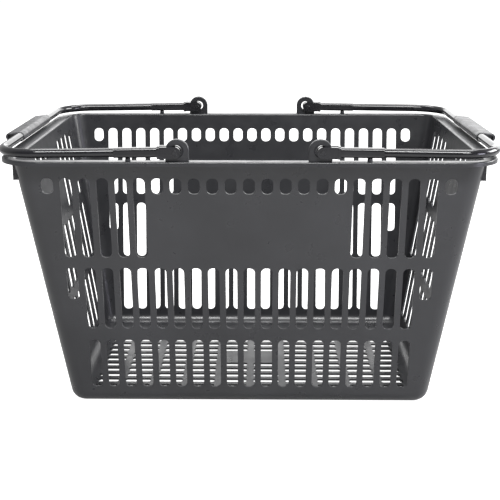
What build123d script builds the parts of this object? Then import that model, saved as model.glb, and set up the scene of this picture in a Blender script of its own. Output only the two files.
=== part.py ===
"""Supermarket shopping basket with two folding bails.

One moulded basket body carries four pivot lugs on its rim.  Each bail is a
U-shaped rod whose forked ends straddle two lugs and turn on a pin through
each.  Both bails lie folded outwards over the rim.  Millimetres, +Z up.
The origin is at the middle of the resting face.
"""

import os
from math import atan, cos, radians, sin

from build123d import *

# ---- Driving dimensions -------------------------------------------------

# Basket body, measured on its outer faces
RIM_TOP = 249.0                # height of the rim's top face
BASE_HALF_X = 175.5            # half length of the walls where they meet the ground
BASE_HALF_Y = 117.5            # half width there
WALL_SLOPE = 0.153             # how far each wall leans out for each unit of height
WALL = 2.0                     # wall thickness
WALL_CORNER = 16.0             # radius of the four upright corners
BASE_CORNER = 13.0             # radius where the walls turn into the base

# Base
FOOT_HEIGHT = 1.0              # height of the rim-shaped foot under the base
FOOT_WIDTH = 7.0
FLOOR = 2.0                    # thickness of the slotted floor

# Rim: a flat flange with a short hem hanging from its outer edge
RIM_HALF_X = 226.0
RIM_HALF_Y = 165.5
RIM_CORNER = 38.0
RIM_PLATE = 2.6                # thickness of the flange
RIM_DEPTH = 4.2                # height of the hem's outer face
RIM_HEM = 2.2                  # thickness of the hem
RIM_ROUND = 1.4                # rounding of the rim's outer top edge
LIP_ROUND = 1.8                # rounding of the rim's inner top edge

# Slots in the walls: (lowest edge, highest edge) of each row
SIDE_PITCH = 16.5              # column pitch of the two long walls
SIDE_SLOT = 10.7
SIDE_OVAL_ROW = (217.0, 232.0)
SIDE_TOP_ROW = (155.0, 232.0)
SIDE_MIDDLE_ROW = (81.5, 144.4)
SIDE_SHORT_ROW = (112.0, 144.4)
SIDE_BOTTOM_ROW = (18.0, 69.5)
END_PITCH = 21.8               # column pitch of the two end walls
END_SLOT = 13.5
END_OVAL_ROW = (225.0, 235.0)
END_TOP_ROW = (162.0, 235.0)
END_MIDDLE_ROW = (88.5, 152.0)
END_BOTTOM_ROW = (21.0, 78.5)
SLOT_CORNER = 4.7

# Slots in the floor
FLOOR_PITCH_X = 33.0
FLOOR_PITCH_Y = 14.8
FLOOR_COLUMNS = 10
FLOOR_ROWS = 12
FLOOR_SLOT_Y = 8.9
FLOOR_BAR = 7.0                # solid bar between two columns of floor slots
FLOOR_SLOT_CORNER = 2.4
FLOOR_END_TRIM = 4.0           # how much shorter the outermost slots are

# Stacking shoulders: thick pads under the rim at both ends of each end wall
SHOULDER_FACE_X = 214.5
SHOULDER_DEPTH = 10.0          # from the shoulder's face into the wall behind it
SHOULDER_Y = (112.0, 141.0)
SHOULDER_Z = (228.0, 247.0)

# Pivot lugs and bail rests on the rim
LUG_X = 63.3
LUG_Y = 160.0
LUG_RADIUS = 10.5
LUG_THICKNESS = 4.2
LUG_HOLE = 10.2
LUG_HOLE_HEIGHT = 9.4          # centre of the hole above the rim
LUG_ROUND = 0.9
REST_X = 107.0
REST_RADIUS = 2.4
REST_GAP = 0.4                 # gap left between a rest and the folded bail

# Bails
PIN_X = 65.2                   # hinge axis, low and outward in the larger lug hole
PIN_HEIGHT = 8.3               # hinge axis above the rim
PIN_DIAMETER = 5.0
PIN_CLEARANCE = 0.05           # radial clearance of the pin in the fork
BAIL_TILT = 0.75               # degrees by which a folded bail slopes down outwards
BAIL_REACH = 159.8             # from the hinge axis to the middle of the crossbar
BAIL_HALF_Y = LUG_Y
BAIL_CORNER = 37.0
ROD_DIAMETER = 8.2
ARM_HEIGHT = 8.8               # squarer stretch of the arm beside the fork
ARM_WIDTH = 9.0
ARM_CORNER = 2.6
ARM_END = 54.0
FORK_RADIUS = 5.2
FORK_WIDTH = 12.4
FORK_GAP = 5.0
FORK_GAP_DEPTH = 13.4
FORK_LENGTH = 15.6
COLLAR_HEIGHT = 11.4
COLLAR_WIDTH = 13.2
COLLAR_LENGTH = 2.2
PIN_HEAD = 0.4                 # how far a pin stands out of its fork at each side
PIN_CHAMFER = 0.4

# Grips: a plate that is thickest over the rod and reaches outwards from it
GRIP_THICKNESS = 9.6
GRIP_SPREAD = 10.0             # from the rod's centre to the centre of the outer edge
GRIP_EDGE_RADIUS = 3.9
GRIP_HALF_LENGTH = 63.0
GRIP_END_ROUND = 1.2
GRIP_BORE_CLEARANCE = 0.05
GRIP_POCKET_X = 8.6            # from the rod's centre to the middle of the end pockets
GRIP_POCKET = (6.0, 4.6)       # width and height of the hollow in each end face
GRIP_POCKET_CORNER = 1.6
GRIP_POCKET_DEPTH = 3.0

# Modelling allowances
CUT_THROUGH = 6.0              # how far a cutter reaches past the faces it cuts
OVERLAP = 1.0                  # how far a joined piece reaches into its neighbour
FACINGS = (-90, 0, 90, 180)    # compass angles the four walls look along

# ---- Worked-out dimensions ----------------------------------------------

SLOPE_ANGLE = atan(WALL_SLOPE)
FLOOR_TOP = FOOT_HEIGHT + FLOOR
PIN_Z = RIM_TOP + PIN_HEIGHT


def wall_plane(facing):
    """The outer face of a wall; facing is the compass angle it looks along."""
    turn = radians(facing)
    along = BASE_HALF_X if facing % 180 == 0 else BASE_HALF_Y
    return Plane(
        origin=(along * cos(turn), along * sin(turn), 0),
        x_dir=(-sin(turn), cos(turn), 0),
        z_dir=(cos(turn) * cos(SLOPE_ANGLE), sin(turn) * cos(SLOPE_ANGLE), -sin(SLOPE_ANGLE)),
    )


def tapered_block(inset, low, high, corner, base_corner):
    """A block with the walls' slope, its faces lying inset inside the walls' outer faces."""
    with BuildPart() as block:
        with Locations((0, 0, low)):
            Box(2 * RIM_HALF_X, 2 * RIM_HALF_Y, high - low, align=(Align.CENTER, Align.CENTER, Align.MIN))
        for facing in FACINGS:
            split(bisect_by=wall_plane(facing).offset(-inset), keep=Keep.BOTTOM)
        # From the ground up the edges are the base's, the upright corners' and the top's
        fillet(block.edges().group_by(Axis.Z)[1], radius=corner)
        fillet(block.edges().group_by(Axis.Z)[0], radius=base_corner)
    return block.part


def row_centre(row):
    """Distance up the sloping face to the middle of a row of slots."""
    return (row[0] + row[1]) / 2 / cos(SLOPE_ANGLE)


def row_length(row):
    """Length of a row's slots along the sloping face."""
    return (row[1] - row[0]) / cos(SLOPE_ANGLE)


def middle_columns(pitch, last):
    """Places of every column up to a given one; column 0 is the wall's middle."""
    return [pitch * n for n in range(-last, last + 1)]


def outer_columns(pitch, first, last):
    """Places of the columns from first to last, on both halves of the wall."""
    return [side * pitch * n for side in (-1, 1) for n in range(first, last + 1)]


# Columns of each kind of slot.  The plain panel in each wall has only ovals
# above it: in a long wall it is in the middle, in an end wall nearer the front.
SIDE_SLOTS = (
    (SIDE_OVAL_ROW, middle_columns(SIDE_PITCH, 5) + outer_columns(SIDE_PITCH, 11, 11)),
    (SIDE_TOP_ROW, outer_columns(SIDE_PITCH, 6, 10)),
    (SIDE_MIDDLE_ROW, middle_columns(SIDE_PITCH, 9)),
    (SIDE_SHORT_ROW, outer_columns(SIDE_PITCH, 10, 10)),
    (SIDE_BOTTOM_ROW, middle_columns(SIDE_PITCH, 9)),
)
END_SLOTS = (
    (END_OVAL_ROW, [-3 * END_PITCH, -2 * END_PITCH, -END_PITCH]),
    (END_TOP_ROW, outer_columns(END_PITCH, 4, 5) + [2 * END_PITCH, 3 * END_PITCH]),
    (END_MIDDLE_ROW, middle_columns(END_PITCH, 5)),
    (END_BOTTOM_ROW, middle_columns(END_PITCH, 4)),
)


def pivot_lug():
    """An arched ear with a round hole, standing on Z = 0 and centred on Y = 0."""
    with BuildPart() as lug:
        with BuildSketch(Plane.XZ):
            with Locations((0, (LUG_HOLE_HEIGHT - OVERLAP) / 2)):
                Rectangle(2 * LUG_RADIUS, LUG_HOLE_HEIGHT + OVERLAP)
            with Locations((0, LUG_HOLE_HEIGHT)):
                Circle(LUG_RADIUS)
                Circle(LUG_HOLE / 2, mode=Mode.SUBTRACT)
        extrude(amount=LUG_THICKNESS / 2, both=True)
        outline = lug.faces().filter_by(Axis.Y).edges().filter_by(lambda edge: edge.center().Z > 0)
        fillet(outline, radius=LUG_ROUND)
    return lug.part


def bail_rest():
    """A low round stud that a folded bail lies on."""
    fall = (REST_X - PIN_X) * sin(radians(BAIL_TILT))
    height = PIN_HEIGHT - fall - ROD_DIAMETER / 2 - REST_GAP
    with BuildPart() as rest:
        with BuildSketch(Plane.XY.offset(-OVERLAP)):
            Circle(REST_RADIUS)
        extrude(amount=height + OVERLAP)
        fillet(rest.edges().group_by(Axis.Z)[-1], radius=REST_RADIUS / 2)
    return rest.part


# ---- Basket body --------------------------------------------------------

outer_block = tapered_block(0, 0, RIM_TOP, WALL_CORNER, BASE_CORNER)
inner_block = tapered_block(
    WALL, FLOOR_TOP, RIM_TOP + CUT_THROUGH, WALL_CORNER - WALL, BASE_CORNER - WALL
)
lug_solid = pivot_lug()
rest_solid = bail_rest()
foot_inner_x = 2 * (BASE_HALF_X - BASE_CORNER - FOOT_WIDTH)
foot_inner_y = 2 * (BASE_HALF_Y - BASE_CORNER - FOOT_WIDTH)
shoulder_x = SHOULDER_FACE_X - SHOULDER_DEPTH / 2
shoulder_y = sum(SHOULDER_Y) / 2

with BuildPart() as basket_body:
    add(outer_block)
    # Flange and hem
    with BuildSketch(Plane.XY.offset(RIM_TOP - RIM_PLATE)):
        RectangleRounded(2 * RIM_HALF_X, 2 * RIM_HALF_Y, RIM_CORNER)
    extrude(amount=RIM_PLATE)
    with BuildSketch(Plane.XY.offset(RIM_TOP - RIM_DEPTH)):
        RectangleRounded(2 * RIM_HALF_X, 2 * RIM_HALF_Y, RIM_CORNER)
        RectangleRounded(
            2 * (RIM_HALF_X - RIM_HEM),
            2 * (RIM_HALF_Y - RIM_HEM),
            RIM_CORNER - RIM_HEM,
            mode=Mode.SUBTRACT,
        )
    extrude(amount=RIM_DEPTH)
    # Stacking shoulders on the end walls
    with BuildSketch(Plane.XY.offset(SHOULDER_Z[0])):
        with Locations(*[(x * shoulder_x, y * shoulder_y) for x in (-1, 1) for y in (-1, 1)]):
            Rectangle(SHOULDER_DEPTH, SHOULDER_Y[1] - SHOULDER_Y[0])
    extrude(amount=SHOULDER_Z[1] - SHOULDER_Z[0])
    fillet(basket_body.edges().group_by(Axis.Z)[-1], radius=RIM_ROUND)
    # Inside, and the recess within the foot
    add(inner_block, mode=Mode.SUBTRACT)
    with BuildSketch(Plane.XY):
        RectangleRounded(foot_inner_x, foot_inner_y, BASE_CORNER)
    extrude(amount=FOOT_HEIGHT, mode=Mode.SUBTRACT)
    fillet(basket_body.faces().sort_by(Axis.Z)[-1].inner_wires()[0].edges(), radius=LIP_ROUND)
    # Lugs and rests
    with Locations(*[(x * LUG_X, y * LUG_Y, RIM_TOP) for x in (-1, 1) for y in (-1, 1)]):
        add(lug_solid)
    with Locations(*[(x * REST_X, y * LUG_Y, RIM_TOP) for x in (-1, 1) for y in (-1, 1)]):
        add(rest_solid)
    # Slots of the walls
    for facing in FACINGS:
        slots, width = (END_SLOTS, END_SLOT) if facing % 180 == 0 else (SIDE_SLOTS, SIDE_SLOT)
        # On both end walls the columns count from the front to the back
        count = -1 if facing == 180 else 1
        with BuildSketch(wall_plane(facing)):
            for row, columns in slots:
                with Locations(*[(count * column, row_centre(row)) for column in columns]):
                    RectangleRounded(width, row_length(row), SLOT_CORNER)
        extrude(amount=CUT_THROUGH, both=True, mode=Mode.SUBTRACT)
    # Slots of the floor; the four around the middle are left solid
    places = []
    for column in range(FLOOR_COLUMNS):
        for line in range(FLOOR_ROWS):
            across = column - (FLOOR_COLUMNS - 1) / 2
            back = line - (FLOOR_ROWS - 1) / 2
            if abs(across) + abs(back) > 1:
                places.append((across, back))
    with BuildSketch(Plane.XY):
        for across, back in places:
            trim = FLOOR_END_TRIM if abs(across) > FLOOR_COLUMNS / 2 - 1 else 0
            shift = -trim / 2 if across > 0 else trim / 2
            with Locations((across * FLOOR_PITCH_X + shift, back * FLOOR_PITCH_Y)):
                RectangleRounded(FLOOR_PITCH_X - FLOOR_BAR - trim, FLOOR_SLOT_Y, FLOOR_SLOT_CORNER)
    extrude(amount=FLOOR_TOP + CUT_THROUGH, mode=Mode.SUBTRACT)
basket_body.part.label = "basket_body"


# ---- Bails, grips and pins ----------------------------------------------

# The plane of the right bail: X runs outwards along its arms, Z is up.
tilt = radians(BAIL_TILT)
bail_plane = Plane(
    origin=(PIN_X, 0, PIN_Z), x_dir=(cos(tilt), 0, -sin(tilt)), z_dir=(sin(tilt), 0, cos(tilt))
)


def profile_plane(reach, across):
    """Upright plane square to the hinge axis, at a place in the bail; its X runs outwards."""
    return Plane(
        origin=bail_plane.from_local_coords((reach, across, 0)),
        x_dir=bail_plane.x_dir,
        z_dir=-bail_plane.y_dir,
    )


def across_arm_plane(side, reach):
    """Plane square to one arm at a given reach from the hinge axis."""
    return Plane(
        origin=bail_plane.from_local_coords((reach, side * BAIL_HALF_Y, 0)),
        x_dir=bail_plane.y_dir,
        z_dir=bail_plane.x_dir,
    )


grip_plane = profile_plane(BAIL_REACH, 0)

with BuildPart() as bail_right:
    with BuildLine(bail_plane) as centre_line:
        FilletPolyline(
            (FORK_LENGTH, -BAIL_HALF_Y),
            (BAIL_REACH, -BAIL_HALF_Y),
            (BAIL_REACH, BAIL_HALF_Y),
            (FORK_LENGTH, BAIL_HALF_Y),
            radius=BAIL_CORNER,
        )
    with BuildSketch(across_arm_plane(-1, FORK_LENGTH)):
        Circle(ROD_DIAMETER / 2)
    sweep(path=centre_line.line)
    for side in (-1, 1):
        # Squarer stretch of the arm, then the collar
        with BuildSketch(across_arm_plane(side, FORK_LENGTH - OVERLAP)):
            RectangleRounded(ARM_WIDTH, ARM_HEIGHT, ARM_CORNER)
        extrude(amount=ARM_END - FORK_LENGTH + OVERLAP)
        with BuildSketch(across_arm_plane(side, FORK_LENGTH - COLLAR_LENGTH)):
            RectangleRounded(COLLAR_WIDTH, COLLAR_HEIGHT, ARM_CORNER)
        extrude(amount=COLLAR_LENGTH)
        # Fork
        with BuildSketch(profile_plane(0, side * BAIL_HALF_Y)):
            Circle(FORK_RADIUS)
            with Locations(((FORK_LENGTH - COLLAR_LENGTH) / 2, 0)):
                Rectangle(FORK_LENGTH - COLLAR_LENGTH, 2 * FORK_RADIUS)
        extrude(amount=FORK_WIDTH / 2, both=True)
    for side in (-1, 1):
        with BuildSketch(profile_plane(0, side * BAIL_HALF_Y)):
            with Locations((FORK_GAP_DEPTH / 2 - FORK_RADIUS, 0)):
                Rectangle(FORK_GAP_DEPTH + 2 * FORK_RADIUS, 3 * FORK_RADIUS)
        extrude(amount=FORK_GAP / 2, both=True, mode=Mode.SUBTRACT)
        with BuildSketch(profile_plane(0, side * BAIL_HALF_Y)):
            Circle(PIN_DIAMETER / 2 + PIN_CLEARANCE)
        extrude(amount=FORK_WIDTH, both=True, mode=Mode.SUBTRACT)
bail_right.part.label = "bail_right"

with BuildPart() as grip_right:
    with BuildSketch(grip_plane):
        Circle(GRIP_THICKNESS / 2)
        with Locations((GRIP_SPREAD, 0)):
            Circle(GRIP_EDGE_RADIUS)
        make_hull()
    extrude(amount=GRIP_HALF_LENGTH, both=True)
    fillet(grip_right.faces().filter_by(Axis.Y).edges(), radius=GRIP_END_ROUND)
    with BuildSketch(grip_plane):
        Circle(ROD_DIAMETER / 2 + GRIP_BORE_CLEARANCE)
    extrude(amount=GRIP_HALF_LENGTH + CUT_THROUGH, both=True, mode=Mode.SUBTRACT)
    # Hollow of each end face, between the rod and the outer edge
    for side in (-1, 1):
        with BuildSketch(grip_plane.offset(side * GRIP_HALF_LENGTH)):
            with Locations((GRIP_POCKET_X, 0)):
                RectangleRounded(*GRIP_POCKET, GRIP_POCKET_CORNER)
        extrude(amount=-side * GRIP_POCKET_DEPTH, mode=Mode.SUBTRACT)
grip_right.part.label = "grip_right"

pin_length = FORK_WIDTH + 2 * PIN_HEAD
with BuildPart() as pivot_pin:
    with BuildSketch(Plane.XZ):
        Circle(PIN_DIAMETER / 2)
    extrude(amount=pin_length / 2, both=True)
    chamfer(pivot_pin.edges(), length=PIN_CHAMFER)

os.makedirs("parts", exist_ok=True)
export_step(basket_body.part, "parts/basket_body.step", write_pcurves=False)

for hand, sign in (("right", 1), ("left", -1)):
    for name, solid in (("bail", bail_right.part), ("grip", grip_right.part)):
        piece = solid if sign > 0 else mirror(solid, about=Plane.YZ)
        piece.label = f"{name}_{hand}"
        export_step(piece, f"parts/{piece.label}.step")
    for end, side in (("front", -1), ("back", 1)):
        pin = Pos(sign * PIN_X, side * LUG_Y, PIN_Z) * pivot_pin.part
        pin.label = f"pivot_pin_{end}_{hand}"
        export_step(pin, f"parts/{pin.label}.step")
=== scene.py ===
"""Looks of the shopping basket: materials, lights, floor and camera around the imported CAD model."""

from math import pi

import bpy
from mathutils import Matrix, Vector

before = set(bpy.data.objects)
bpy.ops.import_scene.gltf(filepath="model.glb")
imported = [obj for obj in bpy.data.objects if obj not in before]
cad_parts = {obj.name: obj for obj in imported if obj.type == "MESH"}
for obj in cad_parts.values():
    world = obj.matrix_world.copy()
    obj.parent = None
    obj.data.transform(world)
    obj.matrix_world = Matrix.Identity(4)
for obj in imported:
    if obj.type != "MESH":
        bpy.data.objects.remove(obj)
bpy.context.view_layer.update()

scene = bpy.context.scene

# Noise at or under the first value counts as fully low, at or over the second as fully high
NOISE_LOW = 0.3
NOISE_HIGH = 0.7

# The floor lies just under the resting face, so that the two never share a plane
FLOOR_HALF_WIDTH = 4.0
FLOOR_DROP = 0.0002

# Floor and room are white to the camera, and darker where the basket's gloss mirrors them
SEEN_WHITE = 1.05
MIRRORED_FLOOR = 0.04
ROOM_IN_FRONT = 0.18
ROOM_BEHIND = 0.6

# Y of a ray's direction, between which the room goes from its front to its back brightness
ROOM_FADE_START = -0.5
ROOM_FADE_END = 0.0

# The camera stands in front of the basket and looks down on it; angles are in radians
CAMERA_PLACE = (0.0108, -1.0455, 0.4094)
CAMERA_LOOKS_DOWN = 0.254
CAMERA_TURN = 0.011
FOCAL_LENGTH_MM = 73.14
SENSOR_WIDTH_MM = 36.0
CAMERA_SHIFT_Y = -0.025
NEAR_CLIP = 0.05
FAR_CLIP = 30.0


# ---- Node helpers --------------------------------------------------------

def new_material(name):
    material = bpy.data.materials.new(name)
    material.use_nodes = True
    tree = material.node_tree
    tree.nodes.clear()
    shader = tree.nodes.new("ShaderNodeBsdfPrincipled")
    output = tree.nodes.new("ShaderNodeOutputMaterial")
    tree.links.new(shader.outputs["BSDF"], output.inputs["Surface"])
    return material, tree, shader


def object_coordinates(tree):
    return tree.nodes.new("ShaderNodeTexCoord").outputs["Object"]


def noise(tree, vector, scale, detail):
    node = tree.nodes.new("ShaderNodeTexNoise")
    node.inputs["Scale"].default_value = scale
    node.inputs["Detail"].default_value = detail
    tree.links.new(vector, node.inputs["Vector"])
    return node.outputs["Fac"]


def ranged(tree, value, low, high, to_low, to_high):
    node = tree.nodes.new("ShaderNodeMapRange")
    node.inputs["From Min"].default_value = low
    node.inputs["From Max"].default_value = high
    node.inputs["To Min"].default_value = to_low
    node.inputs["To Max"].default_value = to_high
    tree.links.new(value, node.inputs["Value"])
    return node.outputs["Result"]


def mottle(tree, shader, value, dark, light):
    """Let the base colour drift between two close tones."""
    node = tree.nodes.new("ShaderNodeValToRGB")
    stops = [(NOISE_LOW, dark), (NOISE_HIGH, light)]
    for element, (place, colour) in zip(node.color_ramp.elements, stops):
        element.position = place
        element.color = (*colour, 1.0)
    tree.links.new(value, node.inputs["Fac"])
    tree.links.new(node.outputs["Color"], shader.inputs["Base Color"])


def vary_gloss(tree, shader, value, smoothest, roughest):
    """Let the roughness drift between two values."""
    roughness = ranged(tree, value, NOISE_LOW, NOISE_HIGH, smoothest, roughest)
    tree.links.new(roughness, shader.inputs["Roughness"])


def bump(tree, height, strength, distance, base=None):
    node = tree.nodes.new("ShaderNodeBump")
    node.inputs["Strength"].default_value = strength
    node.inputs["Distance"].default_value = distance
    tree.links.new(height, node.inputs["Height"])
    if base is not None:
        tree.links.new(base, node.inputs["Normal"])
    return node.outputs["Normal"]


def is_camera_ray(tree):
    """One for a ray that comes straight from the camera, zero for any other."""
    return tree.nodes.new("ShaderNodeLightPath").outputs["Is Camera Ray"]


# ---- Materials -----------------------------------------------------------

def body_plastic():
    """Dark grey moulded polypropylene with a fine eroded grain."""
    material, tree, shader = new_material("basket_plastic")
    at = object_coordinates(tree)
    tone = noise(tree, at, scale=14, detail=4)
    mottle(tree, shader, tone, dark=(0.0135, 0.0138, 0.0155), light=(0.0200, 0.0205, 0.0230))
    vary_gloss(tree, shader, noise(tree, at, scale=60, detail=3), smoothest=0.26, roughest=0.36)
    grain = bump(tree, noise(tree, at, scale=1400, detail=2), strength=0.04, distance=0.0002)
    waves = bump(tree, noise(tree, at, scale=22, detail=2), strength=0.04, distance=0.003, base=grain)
    tree.links.new(waves, shader.inputs["Normal"])
    return material


def bail_plastic():
    """Glossy black nylon rod."""
    material, tree, shader = new_material("bail_plastic")
    at = object_coordinates(tree)
    tone = noise(tree, at, scale=30, detail=3)
    mottle(tree, shader, tone, dark=(0.005, 0.005, 0.006), light=(0.010, 0.010, 0.012))
    vary_gloss(tree, shader, noise(tree, at, scale=90, detail=4), smoothest=0.10, roughest=0.20)
    ripple = bump(tree, noise(tree, at, scale=160, detail=2), strength=0.08, distance=0.0006)
    tree.links.new(ripple, shader.inputs["Normal"])
    return material


def grip_plastic():
    """Matte grip sleeve with a fine leather grain."""
    material, tree, shader = new_material("grip_plastic")
    at = object_coordinates(tree)
    tone = noise(tree, at, scale=40, detail=4)
    mottle(tree, shader, tone, dark=(0.013, 0.013, 0.015), light=(0.022, 0.022, 0.025))
    vary_gloss(tree, shader, noise(tree, at, scale=120, detail=3), smoothest=0.28, roughest=0.42)
    cells = tree.nodes.new("ShaderNodeTexVoronoi")
    cells.inputs["Scale"].default_value = 900
    tree.links.new(at, cells.inputs["Vector"])
    grain = bump(tree, cells.outputs["Distance"], strength=0.35, distance=0.0003)
    tree.links.new(grain, shader.inputs["Normal"])
    return material


def pin_plastic():
    """Glossy moulded pin."""
    material, tree, shader = new_material("pin_plastic")
    at = object_coordinates(tree)
    tone = noise(tree, at, scale=200, detail=2)
    mottle(tree, shader, tone, dark=(0.007, 0.007, 0.008), light=(0.014, 0.014, 0.016))
    vary_gloss(tree, shader, noise(tree, at, scale=400, detail=2), smoothest=0.18, roughest=0.32)
    ripple = bump(tree, noise(tree, at, scale=900, detail=2), strength=0.1, distance=0.0002)
    tree.links.new(ripple, shader.inputs["Normal"])
    return material


def floor_paint():
    """Plain pale paint that glows white to the camera and hardly at all to other rays."""
    material, tree, shader = new_material("pale_floor")
    tone = noise(tree, object_coordinates(tree), scale=3, detail=3)
    mottle(tree, shader, tone, dark=(0.44, 0.44, 0.44), light=(0.46, 0.46, 0.46))
    shader.inputs["Roughness"].default_value = 0.8
    shader.inputs["Specular IOR Level"].default_value = 0.1
    shader.inputs["Emission Color"].default_value = (1.0, 1.0, 1.0, 1.0)
    glow = ranged(tree, is_camera_ray(tree), 0, 1, MIRRORED_FLOOR, SEEN_WHITE)
    tree.links.new(glow, shader.inputs["Emission Strength"])
    return material


def wear(obj, material):
    obj.data.materials.clear()
    obj.data.materials.append(material)


# The first word of a node's name says what it is made of
finish_of = {
    "basket": body_plastic(),
    "bail": bail_plastic(),
    "grip": grip_plastic(),
    "pivot": pin_plastic(),
}
for name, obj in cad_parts.items():
    wear(obj, finish_of[name.split("_")[0]])


# ---- Stage, lights and camera -------------------------------------------

def make_floor():
    half = FLOOR_HALF_WIDTH
    corners = [(-half, -half, 0), (half, -half, 0), (half, half, 0), (-half, half, 0)]
    mesh = bpy.data.meshes.new("floor")
    mesh.from_pydata(corners, [], [(0, 1, 2, 3)])
    floor = bpy.data.objects.new("floor", mesh)
    scene.collection.objects.link(floor)
    floor.location.z = -FLOOR_DROP
    wear(floor, floor_paint())


def soft_box(name, place, target, size, radiance, colour=(1.0, 1.0, 1.0)):
    """Rectangular lamp at place, turned to target, whose brightness doesn't depend on its size."""
    light = bpy.data.lights.new(name, "AREA")
    light.shape = "RECTANGLE"
    light.size, light.size_y = size
    light.energy = radiance * pi * size[0] * size[1]
    light.color = colour
    lamp = bpy.data.objects.new(name, light)
    lamp.location = place
    lamp.rotation_euler = (Vector(target) - Vector(place)).to_track_quat("-Z", "Y").to_euler()
    lamp.visible_camera = False
    scene.collection.objects.link(lamp)


def make_world():
    """White to the camera, and to other rays dimmer in front of the basket than behind it."""
    world = bpy.data.worlds.new("studio")
    world.use_nodes = True
    tree = world.node_tree
    background = tree.nodes["Background"]
    background.inputs["Color"].default_value = (1, 1, 1, 1)
    direction = tree.nodes.new("ShaderNodeTexCoord").outputs["Generated"]
    split = tree.nodes.new("ShaderNodeSeparateXYZ")
    tree.links.new(direction, split.inputs["Vector"])
    y = split.outputs["Y"]
    room = ranged(tree, y, ROOM_FADE_START, ROOM_FADE_END, ROOM_IN_FRONT, ROOM_BEHIND)
    choose = tree.nodes.new("ShaderNodeMix")
    choose.data_type = "FLOAT"
    tree.links.new(is_camera_ray(tree), choose.inputs["Factor"])
    tree.links.new(room, choose.inputs["A"])
    choose.inputs["B"].default_value = SEEN_WHITE
    tree.links.new(choose.outputs["Result"], background.inputs["Strength"])
    scene.world = world


def make_camera():
    lens = bpy.data.cameras.new("camera")
    lens.sensor_width = SENSOR_WIDTH_MM
    lens.lens = FOCAL_LENGTH_MM
    lens.shift_y = CAMERA_SHIFT_Y
    lens.clip_start = NEAR_CLIP
    lens.clip_end = FAR_CLIP
    camera = bpy.data.objects.new("camera", lens)
    camera.location = CAMERA_PLACE
    camera.rotation_euler = (pi / 2 - CAMERA_LOOKS_DOWN, 0.0, CAMERA_TURN)
    scene.collection.objects.link(camera)
    scene.camera = camera


make_floor()
make_world()
soft_box("front_top", place=(0.15, -1.3, 1.75), target=(0, 0, 0.25), size=(1.8, 0.40), radiance=30.0)
soft_box("front_right", place=(0.9, -1.7, 1.20), target=(0.1, 0, 0.25), size=(0.5, 0.30), radiance=14.0)
soft_box("overhead", place=(0.1, 0.5, 1.7), target=(0, 0, 0.2), size=(1.6, 0.5), radiance=12.0)
soft_box("behind", place=(0.85, 2.2, 0.80), target=(0.85, 0, 0.25), size=(3.2, 0.9), radiance=2.1)
soft_box("right", place=(1.8, 0.4, 0.9), target=(0, 0, 0.15), size=(1.0, 0.6), radiance=18.0)
soft_box(
    "low_right",
    place=(1.5, -0.9, 0.35),
    target=(0.15, 0, 0.10),
    size=(0.5, 0.5),
    radiance=12.0,
    colour=(0.86, 0.84, 1.0),
)
make_camera()
scene.view_settings.view_transform = "Standard"
